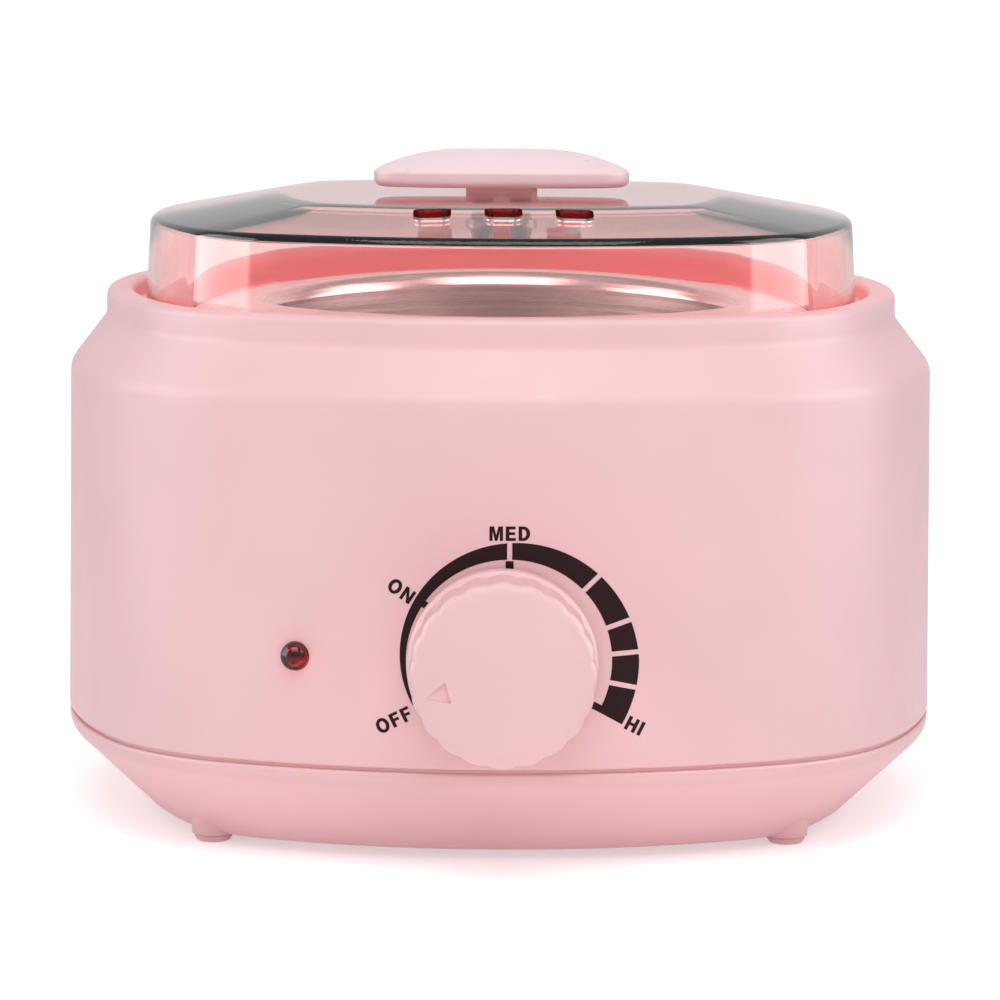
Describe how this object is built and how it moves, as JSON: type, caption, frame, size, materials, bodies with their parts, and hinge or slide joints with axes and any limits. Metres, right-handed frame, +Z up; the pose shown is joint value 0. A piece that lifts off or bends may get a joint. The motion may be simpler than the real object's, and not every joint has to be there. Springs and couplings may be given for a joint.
{
  "type": "wax warmer pot",
  "caption": "Rounded square wax warmer with a lift-out metal pot in a heated well, a turning control knob, an indicator lamp and a clear lift-off lid with a bar handle.",
  "frame": {"origin": "bottom centre of the whole object's box, knob and cord gland included, on the plane that the feet stand on; the pot's axis is 9 mm behind it", "axes": "+Z up; the control knob faces -Y; +X is to the right of a user who faces the knob"},
  "size_m": [0.1912, 0.2138, 0.1438],
  "materials": {
    "housing_plastic": "satin moulded",
    "base_plastic": "satin moulded",
    "knob_plastic": "satin moulded",
    "handle_plastic": "smooth moulded",
    "pink_rubber": "soft matt",
    "black_rubber": "matt",
    "black_plastic": "moulded",
    "dial_ink": "pad printed",
    "screw_steel": "zinc plated",
    "zinc_steel": "zinc plated",
    "heater_steel": "mill",
    "well_aluminium": "spun",
    "pot_aluminium": "spun and brushed",
    "terminal_brass": "plain",
    "copper": "plain",
    "glass_fibre": "woven",
    "white_silicone": "soft matt",
    "white_ceramic": "fired",
    "white_nylon": "moulded",
    "white_insulation": "satin",
    "grey_insulation": "satin",
    "red_insulation": "satin",
    "red_lens": "polished",
    "lamp_glass": "polished",
    "tinted_clear": "polished"
  },
  "bodies": {
    "warmer": {"housing_shell": "housing_plastic", "base_shell": "base_plastic", "rubber_feet": "pink_rubber", "base_screws": "screw_steel", "cord_gland": "black_rubber", "heating_well": "well_aluminium", "well_gasket": "white_silicone", "well_screws": "screw_steel", "heater_band": "heater_steel", "heater_terminals": "terminal_brass", "band_clamp_screw": "screw_steel", "insulation_sleeve": "glass_fibre", "thermal_fuse": "heater_steel", "fuse_clip": "heater_steel", "thermostat_case": "zinc_steel", "thermostat_cover": "white_ceramic", "thermostat_terminals": "terminal_brass", "thermostat_nut": "zinc_steel", "sensor_bulb": "copper", "sensor_capillary": "copper", "bulb_clips": "heater_steel", "indicator_lens": "red_lens", "indicator_holder": "black_plastic", "indicator_lamp": "lamp_glass", "terminal_block": "white_nylon", "terminal_screws": "terminal_brass", "block_screws": "screw_steel", "heater_leads": "white_insulation", "thermostat_leads": "grey_insulation", "lamp_leads": "red_insulation"},
    "knob": {"control_knob": "knob_plastic", "knob_spring": "zinc_steel", "thermostat_shaft": "zinc_steel"},
    "pot": {"wax_pot": "pot_aluminium"},
    "lid": {"lid_shell": "tinted_clear", "lid_handle": "handle_plastic", "handle_screws": "screw_steel", "handle_washers": "screw_steel"}
  },
  "joints": [
    {"name": "knob_turn", "type": "hinge", "parent": "warmer", "child": "knob", "pos_m": [0, -0.101, 0.0445], "axis": [0, 1, 0], "range_deg": [0, 224]},
    {"name": "pot_lift", "type": "slide", "parent": "warmer", "child": "pot", "axis": [0, 0, 1], "range_m": [0, 0.08]},
    {"name": "lid_lift", "type": "slide", "parent": "pot", "child": "lid", "axis": [0, 0, 1], "range_m": [0, 0.06]}
  ]
}
